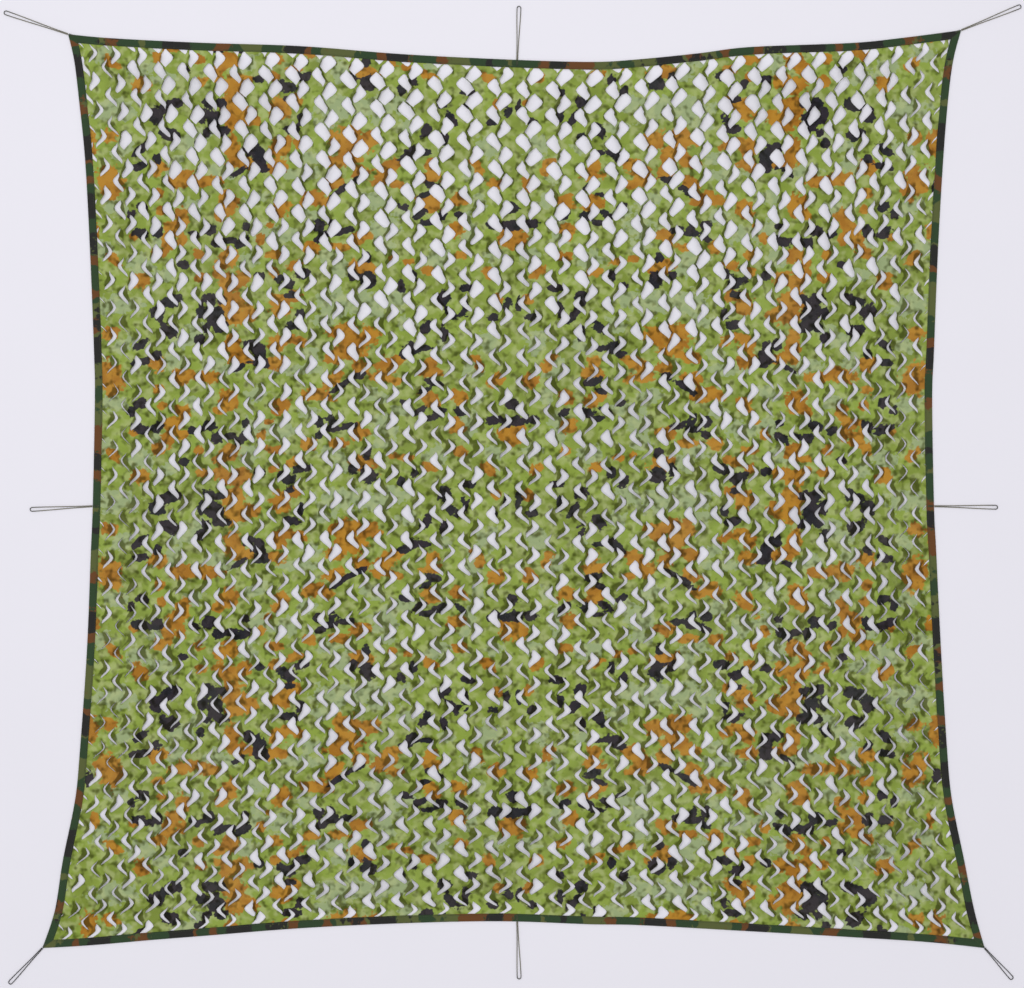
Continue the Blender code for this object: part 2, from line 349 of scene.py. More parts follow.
def print_edge_group():
    """A printed patch with a crisp, wandering edge: 1 inside, 0 outside."""
    tree, n, given, out = new_group(
        "print_edge", {"Field": "number", "Place": "vector", "Wander": "number", "Grain": "number"},
        {"Mask": "number"},
    )
    coarse = n.noise(given["Place"], 34.0, 2.0, 0.6)
    fine = n.noise(given["Place"], given["Grain"], 1.0, 0.5)
    slow = n.math("MULTIPLY", n.math("SUBTRACT", coarse, 0.5), given["Wander"])
    quick = n.math("MULTIPLY", n.math("SUBTRACT", fine, 0.5), n.math("MULTIPLY", given["Wander"], 0.35))
    wander = n.math("ADD", slow, quick)
    n.set(out, "Mask", n.stretch(n.math("ADD", given["Field"], wander), -0.05, 0.08))
    return tree


def wear_group():
    """Handling wear: slow fading over the surface and small rubbed flecks."""
    tree, n, given, out = new_group("cloth_wear", {"Place": "vector"}, {"Fade": "number", "Fleck": "number"})
    n.set(out, "Fade", n.stretch(n.noise(given["Place"], 2.6, 3.0), 0.35, 0.7))
    n.set(out, "Fleck", n.stretch(n.noise(given["Place"], 420.0, 2.0), 0.60, 0.72))
    return tree


WEAVE = weave_group()
PRINT_EDGE = print_edge_group()
WEAR = wear_group()

# ---------------------------------------------------------------- netting cloth
FRESH_GREEN = srgb(146, 168, 70)
OLIVE_GREEN = srgb(128, 146, 58)
PALE_GREEN = srgb(158, 175, 126)
OCHRE = srgb(188, 136, 44)
RUST = srgb(168, 114, 32)
CHARCOAL = srgb(48, 42, 50)
BLUE_BLACK = srgb(34, 34, 42)
CLOTH_BACK = srgb(126, 134, 92)
# Painted shade: the colour that the print is multiplied by where shade is painted on.
PAINTED_FOLD_SHADE = srgb(146, 146, 112)
# Painted highlight: the pale colour mixed in where light is painted on.
PAINTED_HIGHLIGHT = srgb(190, 200, 140)


def printed(n, place, field, wander, grain):
    """The mask of one printed colour, from how deep each point lies in its patches."""
    return n.group(PRINT_EDGE, Field=field, Place=place, Wander=wander, Grain=grain).outputs["Mask"]


def netting_material():
    material, n, shader = new_material("printed_oxford_cloth")
    place = n.add("ShaderNodeTexCoord").outputs["Object"]
    curl, rim = n.attribute("curl"), n.attribute("rim")

    tone = n.noise(place, 9.0, 2.0)
    green = n.mix(n.stretch(tone, 0.40, 0.62), FRESH_GREEN, OLIVE_GREEN)
    pale = printed(n, place, n.attribute("pale"), 2.2, 90.0)
    colour = n.mix(pale, green, PALE_GREEN)
    # Painted highlight: pale, light-catching spots mixed into the cloth at random.
    aside = n.add("ShaderNodeMapping", {"Vector": place, "Location": (5.3, -2.7, 0.0)}).outputs["Vector"]
    colour = n.mix(n.stretch(n.noise(aside, 34.0, 1.0), 0.46, 0.66, 0.0, 0.50), colour, PAINTED_HIGHLIGHT)
    warm = n.mix(n.stretch(n.noise(place, 16.0, 2.0), 0.42, 0.60), OCHRE, RUST)
    ochre = printed(n, place, n.math("SUBTRACT", n.attribute("ochre"), 0.07), 1.7, 110.0)
    colour = n.mix(ochre, colour, warm)
    dark = n.mix(n.stretch(n.noise(place, 20.0, 1.0), 0.45, 0.6), CHARCOAL, BLUE_BLACK)
    black = printed(n, place, n.attribute("charcoal"), 1.5, 110.0)
    colour = n.mix(black, colour, dark)

    behind = n.add("ShaderNodeNewGeometry").outputs["Backfacing"]
    colour = n.mix(n.math("MULTIPLY", behind, 0.55), colour, CLOTH_BACK)

    wear = n.group(WEAR, Place=place).outputs
    colour = n.mix(n.math("MULTIPLY", wear["Fade"], 0.05), colour, srgb(196, 196, 170))
    colour = n.mix(n.math("MULTIPLY", wear["Fleck"], 0.07), colour, srgb(206, 204, 180))
    colour = n.mix(n.math("MULTIPLY", n.math("POWER", rim, 9.0), 0.45), colour, srgb(66, 66, 34))
    # Painted shade: the colour is multiplied darker where a tongue turns over, in random mottled spots, and a
    # little more towards the bottom of the net.
    height = n.add("ShaderNodeSeparateXYZ", {"Vector": place}).outputs["Y"]
    # Painted shade that grows a little towards the bottom of the net.
    slack = n.stretch(height, 1.1, 0.0, 0.0, 0.02)
    mottled = n.math("MULTIPLY", n.noise(place, 42.0, 1.0), 0.6)
    shaded = n.math("ADD", mottled, n.math("ADD", n.math("MULTIPLY", curl, 0.22), slack))
    colour = n.mix(n.stretch(shaded, 0.325, 0.455, 0.0, 0.97), colour, PAINTED_FOLD_SHADE, "MULTIPLY")

    weave = n.group(WEAVE, Place=place, Threads_per_Metre=1250.0).outputs
    # Painted shade between the weave's threads.
    colour = n.mix(1.0, colour, weave["Painted Weave Shading"], "MULTIPLY")
    n.set(shader, "Base Color", colour)
    n.set(shader, "Roughness", n.stretch(weave["Height"], 0.0, 0.7, 0.82, 0.66))
    shader.inputs["Specular IOR Level"].default_value = 0.12
    shader.inputs["Sheen Weight"].default_value = 0.05
    shader.inputs["Sheen Roughness"].default_value = 0.5
    creases = n.noise(place, 70.0, 3.0, 0.55)
    soft = n.add("ShaderNodeBump", {"Strength": 0.35, "Distance": 0.004, "Height": creases})
    bump = n.add("ShaderNodeBump", {"Strength": 0.45, "Distance": 0.0004, "Height": weave["Height"],
                                    "Normal": soft.outputs["Normal"]})
    n.set(shader, "Normal", bump.outputs["Normal"])
    return material


# ---------------------------------------------------------------- tape, thread and cord
TAPE_GREEN = srgb(42, 66, 38)
TAPE_OLIVE = srgb(88, 96, 50)
TAPE_RUST = srgb(104, 64, 28)
TAPE_BLACK = srgb(32, 32, 30)


def tape_material():
    material, n, shader = new_material("printed_tape")
    along, across = n.attribute("along"), n.attribute("across")
    run = n.add("ShaderNodeCombineXYZ", {"X": along, "Y": across}).outputs["Vector"]
    squeezed = n.add("ShaderNodeMapping", {"Vector": run, "Scale": (1.0, 0.55, 1.0)}).outputs["Vector"]
    ragged = n.math("MULTIPLY", n.math("SUBTRACT", n.noise(run, 70.0, 2.0), 0.5), 0.22)
    rust = n.stretch(n.math("ADD", n.noise(squeezed, 11.0, 1.0), ragged), 0.55, 0.57)
    moved = n.add("ShaderNodeMapping", {"Vector": squeezed, "Location": (7.3, 1.9, 0.0)}).outputs["Vector"]
    black = n.stretch(n.math("ADD", n.noise(moved, 10.0, 1.0), ragged), 0.54, 0.56)
    again = n.add("ShaderNodeMapping", {"Vector": squeezed, "Location": (-4.1, 3.7, 0.0)}).outputs["Vector"]
    olive = n.stretch(n.math("ADD", n.noise(again, 12.0, 1.0), ragged), 0.56, 0.58)
    colour = n.mix(olive, TAPE_GREEN, TAPE_OLIVE)
    colour = n.mix(rust, colour, TAPE_RUST)
    colour = n.mix(black, colour, TAPE_BLACK)
    wear = n.group(WEAR, Place=run).outputs
    colour = n.mix(n.math("MULTIPLY", wear["Fleck"], 0.12), colour, srgb(120, 124, 96))
    weave = n.group(WEAVE, Place=run, Threads_per_Metre=900.0).outputs
    # Painted shade between the weave's threads.
    colour = n.mix(1.0, colour, weave["Painted Weave Shading"], "MULTIPLY")
    n.set(shader, "Base Color", colour)
    n.set(shader, "Roughness", n.stretch(weave["Height"], 0.0, 0.7, 0.86, 0.68))
    shader.inputs["Specular IOR Level"].default_value = 0.3
    shader.inputs["Sheen Weight"].default_value = 0.08
    ribs = n.math("SINE", n.math("MULTIPLY", across, 2 * math.pi * 520))
    height = n.math("ADD", n.math("MULTIPLY", ribs, 0.25), weave["Height"])
    bump = n.add("ShaderNodeBump", {"Strength": 0.5, "Distance": 0.0004, "Height": height})
    n.set(shader, "Normal", bump.outputs["Normal"])
    return material


def thread_material():
    material, n, shader = new_material("sewing_thread")
    place = n.add("ShaderNodeTexCoord").outputs["Object"]
    tone = n.stretch(n.noise(place, 60.0, 2.0), 0.35, 0.65)
    n.set(shader, "Base Color", n.mix(tone, srgb(44, 54, 34), srgb(74, 84, 52)))
    n.set(shader, "Roughness", n.stretch(n.noise(place, 900.0, 1.0), 0.3, 0.7, 0.5, 0.68))
    return material


def cord_material(name, light, dark, tip):
    """Cord of three strands: fine yarns that cross on its surface, with painted shade between them, and soil
    towards the loop's end.
    """
    material, n, shader = new_material(name)
    along, around, far = n.attribute("along"), n.attribute("around"), n.attribute("far")
    round_it, down_it = n.math("MULTIPLY", around, 12 * math.pi), n.math("MULTIPLY", along, 2600.0)
    forth = n.math("SINE", n.math("ADD", round_it, down_it))
    back = n.math("SINE", n.math("SUBTRACT", round_it, down_it))
    yarns = n.math("MAXIMUM", forth, back)
    run = n.add("ShaderNodeCombineXYZ", {"X": along, "Y": around}).outputs["Vector"]
    tone = n.stretch(n.noise(run, 28.0, 3.0), 0.35, 0.65)
    colour = n.mix(tone, light, dark)
    # Painted shade: darker in the grooves between the yarns.
    colour = n.mix(n.stretch(yarns, 0.0, 0.9, 0.55, 0.0), colour, dark)
    colour = n.mix(n.stretch(n.math("ADD", far, n.math("MULTIPLY", tone, 0.12)), 0.80, 1.05), colour, tip)
    n.set(shader, "Base Color", colour)
    n.set(shader, "Roughness", n.stretch(yarns, 0.0, 1.0, 0.8, 0.58))
    shader.inputs["Sheen Weight"].default_value = 0.1
    bump = n.add("ShaderNodeBump", {"Strength": 0.7, "Distance": 0.0004, "Height": yarns})
    n.set(shader, "Normal", bump.outputs["Normal"])
    return material


CORD_LIGHT = cord_material("cord_grey_olive", srgb(146, 142, 122), srgb(92, 88, 68), srgb(48, 46, 38))
CORD_DARK = cord_material("cord_dark_olive", srgb(46, 48, 38), srgb(28, 30, 25), srgb(16, 17, 16))
TAPE = tape_material()
THREAD = thread_material()


# ---------------------------------------------------------------- the ties
def inside(x, y, loop):
    """Whether the point lies within the loop."""
    found = False
    for (ax, ay), (bx, by) in zip(loop, loop[1:] + loop[:1]):
        if (ay > y) != (by > y) and x < ax + (y - ay) * (bx - ax) / (by - ay):
            found = not found
    return found


def beside(place, degrees, out, aside):
    """A point this far out from the place in the given direction, and this far to its left."""
    angle = math.radians(degrees)
    return (
        place[0] + out * math.cos(angle) - aside * math.sin(angle),
        place[1] + out * math.sin(angle) + aside * math.cos(angle),
    )


def clear_start(place, degrees):
    """How far out from its point a tie can start with both strands clear of the binding."""
    reach_aside = STRAND_GAP + CORD_DIAMETER / 2
    out = -0.003
    while out < 0.01:
        corners = [beside(place, degrees, out, aside) for aside in (-reach_aside, 0, reach_aside)]
        if all(not inside(x, y, OUTLINE) and distance_inside(x, y) >= CLEARANCE for x, y in corners):
            return out
        out += 0.0001
    return out


def tie_route(place, degrees, reach, half_width):
    """Out along one side of the loop, round the half circle at its end and back along the other side."""
    start = clear_start(place, degrees)
    turn = half_width - CORD_DIAMETER / 2
    middle = reach - half_width
    side = []
    for i in range(SIDE_STEPS):
        share = i / SIDE_STEPS
        opened = smooth_step(share**OPENING_POWER)
        side.append((start + (middle - start) * share, STRAND_GAP + (turn - STRAND_GAP) * opened))
    round_end = []
    for i in range(BIGHT_STEPS):
        angle = math.pi / 2 * i / BIGHT_STEPS
        round_end.append((middle + turn * math.sin(angle), turn * math.cos(angle)))
    half = side + round_end
    local = half + [(middle + turn, 0.0)] + [(out, -aside) for out, aside in reversed(half)]
    return [
        (
            *beside(place, degrees, out, aside),
            EDGE_HEIGHT + PANEL_THICKNESS / 2 - SETTLE * min(1.0, out / SETTLED_BY),
        )
        for out, aside in local
    ]


CORD_SIDES = 12
CORD_STEP = 0.0012
SETTLE = 0.0003  # a tie comes down this much onto the surface
SETTLED_BY = 0.05  # within this far of the net
LAY_LENGTH = 0.011  # one turn of the cord's three strands


def make_tie(name):
    """A cord of three strands twisted round each other, along its route."""
    route = Line(tie_route(*TIES[name]))
    rings = round(route.length / CORD_STEP)
    points, faces, along, around, far = [], [], [], [], []
    centres = [route.at(i / rings) for i in range(rings + 1)]
    for i, centre in enumerate(centres):
        before, after = centres[max(i - 1, 0)], centres[min(i + 1, rings)]
        dx, dy = after[0] - before[0], after[1] - before[1]
        length = math.hypot(dx, dy)
        side = (-dy / length, dx / length)
        distance = i / rings * route.length
        turn = 2 * math.pi * distance / LAY_LENGTH
        for k in range(CORD_SIDES):
            angle = 2 * math.pi * k / CORD_SIDES
            radius = CORD_DIAMETER / 2 * (0.90 + 0.10 * math.cos(3 * angle - turn))
            points.append((
                centre[0] + side[0] * radius * math.cos(angle),
                centre[1] + side[1] * radius * math.cos(angle),
                centre[2] + radius * math.sin(angle),
            ))
            along.append(distance)
            around.append(k / CORD_SIDES)
            far.append(1 - abs(2 * i / rings - 1))
    for i in range(rings):
        for k in range(CORD_SIDES):
            a, b = i * CORD_SIDES + k, i * CORD_SIDES + (k + 1) % CORD_SIDES
            faces.append((a, b, b + CORD_SIDES, a + CORD_SIDES))
    faces.append(tuple(range(CORD_SIDES - 1, -1, -1)))
    faces.append(tuple(rings * CORD_SIDES + k for k in range(CORD_SIDES)))
    dark = name in ("tie_bottom_left", "tie_bottom_right")
    piece = new_piece("cord_" + name, points, faces, CORD_DARK if dark else CORD_LIGHT)
    give_values(piece, "along", along)
    give_values(piece, "around", around)
    give_values(piece, "far", far)
    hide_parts(name)


for tie in TIES:
    make_tie(tie)

# ---------------------------------------------------------------- the netting's slits and gaps
HALF_LEVELS = (0.0, 0.085, 0.16, 0.23, 0.30, 0.40)
LEVELS = HALF_LEVELS + tuple(level + 0.5 for level in HALF_LEVELS)
PER_ROW = len(LEVELS)
SLIT_TOP, SLIT_BOTTOM = 4, -5  # the level of a slit's upper and lower end, from its hook's tip
SLIT_DOWN = 0.415  # rows from the hook's tip down to the slit's lower end
SLIT_SPAN = 0.715  # rows from its lower end to its upper end
# The hook's outer lip, from lower to upper end: (rows up from the tip, columns across from the trunk).
OUTER_LIP = [
    (-0.415, 0.50), (-0.34, 0.40), (-0.27, 0.31), (-0.20, 0.215), (-0.10, 0.105),
    (0.0, 0.055), (0.085, 0.10), (0.16, 0.175), (0.23, 0.25), (0.30, 0.32),
]
# How much of its full opening a gap has there: a narrow slit's share, and a wide gap's.
OPEN_SHARE = [
    (-0.415, 0.0, 0.0), (-0.34, 0.60, 0.34), (-0.27, 0.94, 0.62), (-0.20, 1.08, 0.86), (-0.10, 1.10, 1.0),
    (0.0, 1.04, 1.0), (0.085, 0.94, 0.90), (0.16, 0.74, 0.66), (0.23, 0.36, 0.36), (0.30, 0.0, 0.0),
]
WIDEST = 0.47
# How open the net is pulled: by the distance from its middle line, and by height.
OPEN_ACROSS = [(0.0, 1.0), (0.7, 0.96), (1.0, 0.88), (1.3, 0.66), (1.5, 0.58)]
OPEN_UP = [
    (-1.5, 0.58), (-1.0, 0.60), (-0.5, 0.52), (0.0, 0.62),
    (0.35, 0.56), (0.65, 0.78), (0.9, 1.04), (1.3, 1.30),
]
# And, above this height, by how many columns lie between the gap and the side tape.
OPEN_BESIDE_TAPE = [(0, 0.50), (1, 0.66), (2, 0.90), (3, 1.0)]
BESIDE_TAPE_ABOVE = -0.9
NARROWEST = 0.05
WIDEST_DRAWN = 0.54


def draw_gap(rng, column, row, points_to):
    """One gap's own character: how wide it is pulled, how its tongue lifts, and how its ends wander."""
    x, y = lattice_point(column, clamp(row + (0.5 if points_to > 0 else 0), 0, ROWS))
    pulled = between(OPEN_ACROSS, abs(x)) * between(OPEN_UP, y)
    if y > BESIDE_TAPE_ABOVE:
        pulled *= between(OPEN_BESIDE_TAPE, min(column, COLUMNS - column))
    spread = 0.52 - 0.24 * clamp(pulled)
    width = 0.385 * pulled * (1 - spread + 2.7 * spread * rng.random() ** 2)
    lift = rng.uniform(0.7, 1.25)
    wander = [rng.uniform(-1, 1) for _ in range(5)]
    slide = rng.uniform(-0.040, 0.040)
    if (column, row, points_to) in WIDEST_GAPS:
        width, lift, slide = WIDEST, 1.0, 0.0
    width = clamp(width, NARROWEST, WIDEST_DRAWN)
    return {"width": width, "lift": lift, "wander": wander, "slide": slide}


def gap_exists(column, row, points_to):
    middle = row + (0.5 if points_to > 0 else 0.0)
    return 0.2 < middle < ROWS + 0.2 and (column < COLUMNS if points_to < 0 else column > 0)


def make_gaps():
    rng = random.Random(20817)
    return {
        (column, row, points_to): draw_gap(rng, column, row, points_to)
        for row in range(-1, ROWS + 1) for column in range(COLUMNS + 1) for points_to in (-1, 1)
    }


GAPS = make_gaps()


def lip(column, row, points_to, step):
    """One level of a gap: how far its outer and inner lips are from the trunk, and its share of full lift."""
    gap = GAPS[(column, row, points_to)]
    up, outer = OUTER_LIP[step - SLIT_BOTTOM]
    _, narrow, wide = OPEN_SHARE[step - SLIT_BOTTOM]
    wander = gap["wander"]
    width = gap["width"] if gap_exists(column, row, points_to) else 0.0
    wideness = clamp((width - 0.22) / 0.10)
    share = narrow + (wide - narrow) * wideness
    reach = (up + SLIT_DOWN) / SLIT_SPAN
    outer += 0.050 * wander[0] * (1 - reach) + 0.050 * wander[1] * reach + 0.030 * wander[2]
    inner = outer + width * share
    # Pulled wide, a gap also eats into the trunk, and its ends round out.
    outer = max(outer * (1 - 0.10 * wideness), 0.03)
    return outer, max(inner, outer), share, width


def slit_line(column, level, points_to):
    """Where the slit line of a trunk runs at this level: outer and inner lip, and whether it is open here."""
    shift = len(HALF_LEVELS) if points_to > 0 else 0
    row, step = divmod(level - shift - SLIT_BOTTOM, PER_ROW)
    step += SLIT_BOTTOM
    if step <= SLIT_TOP:
        outer, inner, share, width = lip(column, row, points_to, step)
        if SLIT_BOTTOM < step < SLIT_TOP and width > 0:
            return outer, inner, share, (column, row, points_to), step
        return outer, outer, 0.0, None, step
    low = lip(column, row, points_to, SLIT_TOP)[0]
    high = lip(column, row + 1, points_to, SLIT_BOTTOM)[0]
    t = (step - SLIT_TOP) / (PER_ROW + SLIT_BOTTOM - SLIT_TOP)
    middle = low + (high - low) * t
    return middle, middle, 0.0, None, step


RISE = 0.0034  # how far the slack cloth rides up on its own tongues, clear of the tape
LIFT = 0.0110  # how far a wide gap's tongue stands up at its edge
HIGHEST = 0.0172  # no tongue reaches past this
LIP_LIFT = 0.0022  # how far a gap's other lip stands up


class Netting:
    """Collects the sheet's points, faces and values as the slit pattern is walked."""

    def __init__(self):
        self.points, self.faces = [], []
        # Per point: the weight of the painted shade, and how near a cut edge it lies.
        self.curl, self.rim = [], []

    def add(self, column, level, lift, curl, rim, slide=0.0):
        row = level // PER_ROW + LEVELS[level % PER_ROW] + slide
        x, y = lattice_point(column, row)
        near_edge = min(column, COLUMNS - column, row, ROWS - row) < 2.2
        depth = distance_inside(x, y) if near_edge else 1.0
        share = smooth_step((depth - PANEL_RING) / 0.10)
        free = smooth_step((depth - PANEL_RING) / 0.025)
        z = EDGE_HEIGHT * (1 - share) + (swell(x, y) + RISE) * share + PANEL_THICKNESS / 2
        self.points.append((x, y, min(z + lift * free, HIGHEST)))
        self.curl.append(curl * free)
        self.rim.append(rim)
        return len(self.points) - 1

    def level(self, level):
        """All the stations of one level, left to right, each with a left and a right point."""
        stations = []
        for column in range(COLUMNS):
            stations.append(self.trunk(column, level))
            stations += self.cell(column, level)
        stations.append(self.trunk(COLUMNS, level))
        return stations

    def trunk(self, column, level):
        point = self.add(column, level, 0.0, 0.0, 0.0)
        return point, point

    def cell(self, column, level):
        lo, li, lshare, lgap, lstep = slit_line(column, level, -1)
        ro, ri, rshare, rgap, rstep = slit_line(column + 1, level, 1)
        ro, ri = 1 - ro, 1 - ri
        neck = ri - li
        if neck < 0.10:
            middle = (ri + li) / 2
            li, ri = min(li, middle - 0.05), max(ri, middle + 0.05)
            lo, ro = min(lo, li), max(ro, ri)
        lift_l, curl_l, lip_l = self.tongue(lgap, lshare, lstep)
        lift_r, curl_r, lip_r = self.tongue(rgap, rshare, rstep)
        turned = min(0.19 if lgap else 1.0, 0.36 * (ri - li))
        turned_r = min(0.19 if rgap else 1.0, 0.36 * (ri - li))
        slide_l, slide_r = (GAPS[key]["slide"] if key else 0.0 for key in (lgap, rgap))
        # Painted shade: beside some gaps it spreads onto the trunk, by these shares.
        trunk_shade_l, trunk_shade_r = (max(0.0, GAPS[key]["wander"][3]) if key else 0.0 for key in (lgap, rgap))
        stations = []
        c = column
        p = self.add(c + 0.5 * lo, level, 0.15 * lip_l, trunk_shade_l * curl_l, 0.0)
        stations.append((p, p))
        rim_l, rim_r = 1.0 if lgap else 0.0, 1.0 if rgap else 0.0
        outer = self.add(c + lo, level, lip_l, (0.25 + 0.6 * trunk_shade_l) * curl_l, rim_l, slide_l)
        inner = self.add(c + li, level, lift_l, curl_l, 1.0, slide_l) if lgap else outer
        stations.append((outer, inner))
        p = self.add(c + li + turned, level, 0.34 * lift_l + 0.06 * lift_r, curl_l, 0.0)
        stations.append((p, p))
        p = self.add(c + ri - turned_r, level, 0.34 * lift_r + 0.06 * lift_l, curl_r, 0.0)
        stations.append((p, p))
        outer = self.add(c + ro, level, lip_r, (0.25 + 0.6 * trunk_shade_r) * curl_r, rim_r, slide_r)
        inner = self.add(c + ri, level, lift_r, curl_r, 1.0, slide_r) if rgap else outer
        stations.append((inner, outer))
        p = self.add(c + 1 - 0.5 * (1 - ro), level, 0.15 * lip_r, trunk_shade_r * curl_r, 0.0)
        stations.append((p, p))
        return stations

    def tongue(self, key, share, step):
        """How far the tongue's edge lifts, how much painted shade its cloth gets, and how far the other lip
        lifts.
        """
        if key is None:
            return 0.0, 0.0, 0.0
        gap = GAPS[key]
        wide = clamp(gap["width"] / 0.30, 0.25, 1.0)
        lift = LIFT * gap["lift"] * wide * share
        upper = clamp(0.80 + 0.2 * (step + 1), 0.25, 1.0)
        # Painted shade weight, strongest at and above the hook's tip.
        curl = share * upper * clamp(0.95 + 0.5 * gap["wander"][4], 0.3, 1.3)
        return lift, curl, LIP_LIFT * share * (0.5 + 0.5 * gap["wander"][3])

    def build(self):
        below = self.level(0)
        for level in range(1, ROWS * PER_ROW + 1):
            above = self.level(level)
            for i in range(len(below) - 1):
                self.faces.append((below[i][1], below[i + 1][0], above[i + 1][0], above[i][1]))
            below = above


# ---------------------------------------------------------------- the cloth's print
# Patches left of the net's middle line, in metres: x, y, half width, half height, tilt in degrees.
# The print is the same again every PRINT_REPEAT up and down, and is mirrored about the middle line.
PRINT_REPEAT = 0.642
OCHRE_PATCHES = [
    (-1.39, -0.15, 0.03, 0.055, 0), (-1.32, -0.28, 0.045, 0.065, 20), (-1.32, -0.13, 0.03, 0.025, 0),
    (-1.165, -0.23, 0.034, 0.03, 0), (-1.16, -0.315, 0.022, 0.02, 0), (-1.08, -0.27, 0.052, 0.03, 10),
    (-1.00, -0.275, 0.052, 0.022, 0), (-1.08, -0.39, 0.027, 0.036, 0), (-1.11, -0.43, 0.042, 0.03, 20),
    (-1.13, -0.475, 0.028, 0.032, 0), (-1.085, -0.465, 0.02, 0.026, 0), (-1.16, -0.51, 0.026, 0.022, 0),
    (-1.03, -0.515, 0.022, 0.02, -40), (-1.15, -0.37, 0.02, 0.018, 0), (-0.93, -0.35, 0.036, 0.042, 0),
    (-0.955, -0.38, 0.03, 0.02, 30), (-0.92, -0.03, 0.05, 0.042, 0), (-0.905, -0.075, 0.052, 0.036, 20),
    (-0.86, -0.07, 0.034, 0.028, 0), (-0.92, -0.17, 0.028, 0.05, 0), (-0.925, -0.52, 0.036, 0.032, 20),
    (-0.96, -0.545, 0.022, 0.02, 0), (-0.965, -0.58, 0.02, 0.018, 0), (-1.02, -0.59, 0.024, 0.02, 0),
    (-1.22, -0.6, 0.034, 0.03, -30), (-1.31, -0.53, 0.036, 0.018, -40),
    (-0.925, -0.605, 0.045, 0.03, 0), (-0.76, -0.04, 0.036, 0.04, 20), (-0.72, -0.01, 0.032, 0.024, 0),
    (-0.7, -0.155, 0.03, 0.02, -30), (-0.77, -0.165, 0.034, 0.032, 0), (-0.74, -0.145, 0.024, 0.02, 0),
    (-0.775, -0.225, 0.04, 0.024, 0), (-0.9, -0.21, 0.044, 0.026, 0), (-0.865, -0.215, 0.03, 0.02, 0),
    (-0.755, -0.36, 0.03, 0.026, 0), (-0.77, -0.385, 0.024, 0.018, 0),
    (-0.825, -0.465, 0.018, 0.022, -20), (-0.8, -0.42, 0.016, 0.011, 0),
    (-0.545, -0.13, 0.06, 0.036, 0), (-0.53, -0.18, 0.052, 0.038, -10),
    (-0.47, -0.14, 0.042, 0.032, 20), (-0.58, -0.21, 0.044, 0.024, 10), (-0.5, -0.245, 0.032, 0.03, 0),
    (-0.585, -0.28, 0.038, 0.026, 20), (-0.65, -0.33, 0.052, 0.026, 10), (-0.61, -0.34, 0.032, 0.02, 0),
    (-0.665, -0.495, 0.032, 0.022, 0), (-0.57, -0.49, 0.042, 0.017, 0), (-0.51, -0.46, 0.027, 0.03, 0),
    (-0.48, -0.455, 0.022, 0.016, 0), (-0.88, -0.59, 0.032, 0.026, 0), (-0.78, -0.515, 0.032, 0.018, 0),
    (-0.715, -0.55, 0.032, 0.018, 20), (-0.78, -0.575, 0.022, 0.02, 0),
    (-0.49, -0.56, 0.052, 0.03, -20), (-0.41, -0.235, 0.048, 0.03, 30), (-0.43, -0.27, 0.04, 0.025, 0),
    (-0.375, -0.215, 0.032, 0.016, 20), (-0.38, -0.285, 0.026, 0.016, 0),
    (-0.265, -0.26, 0.042, 0.022, 0), (-0.265, -0.225, 0.025, 0.026, -30),
    (-0.275, -0.34, 0.038, 0.024, -20), (-0.26, -0.365, 0.032, 0.015, 0),
    (-0.175, -0.34, 0.032, 0.026, -20), (-0.185, -0.435, 0.03, 0.03, 0), (-0.17, -0.52, 0.026, 0.02, 0),
    (-0.055, -0.285, 0.032, 0.026, 20), (-0.12, -0.215, 0.026, 0.016, -20),
    (-0.11, -0.24, 0.02, 0.02, 0), (-0.015, -0.46, 0.036, 0.04, 0), (-0.08, -0.575, 0.032, 0.02, -30),
    (-0.345, -0.54, 0.022, 0.015, 0), (-0.275, -0.57, 0.032, 0.018, -20),
    (-0.395, -0.53, 0.018, 0.015, 0), (-0.05, -0.02, 0.022, 0.02, 0), (-1.24, -0.455, 0.018, 0.016, 0),
    (-1.37, -0.44, 0.018, 0.03, 0),
]
